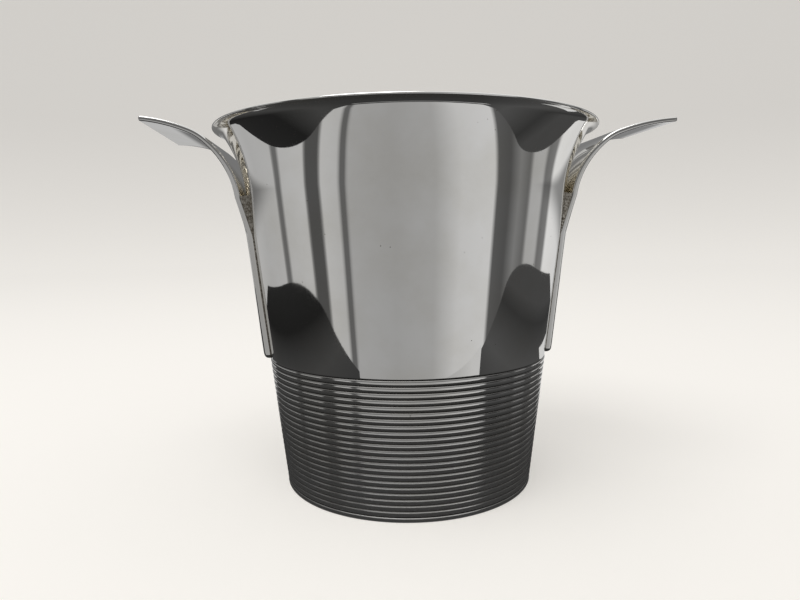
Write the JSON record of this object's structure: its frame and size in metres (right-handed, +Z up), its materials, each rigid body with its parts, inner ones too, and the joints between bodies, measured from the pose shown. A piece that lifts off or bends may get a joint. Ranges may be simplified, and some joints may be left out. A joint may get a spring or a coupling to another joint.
{
  "type": "champagne bucket",
  "caption": "Silver-plated champagne bucket with a flared lip, a ribbed foot and two broad strap handles that sweep outwards.",
  "frame": {"origin": "centre of the foot ring's underside, on the table", "axes": "+Z up along the body's axis; the handles lie along X, the longer one towards +X; the front is -Y"},
  "size_m": [0.2688, 0.2034, 0.1949],
  "materials": {
    "silver_plate": "silver plate on spun brass, polished, with fine wiping scratches",
    "silver_plate_base": "silver plate, dulled by ice and water",
    "silver_plate_handles": "silver plate on bent brass strap, polished",
    "silver_solder": "silver solder, plated over, pitted and slightly tarnished"
  },
  "bodies": {
    "root": {"body_shell": "silver_plate", "base_plate": "silver_plate_base", "foot_ring": "silver_plate", "handle_left": "silver_plate_handles", "handle_right": "silver_plate_handles", "braze_left": "silver_solder", "braze_right": "silver_solder"}
  },
  "joints": []
}
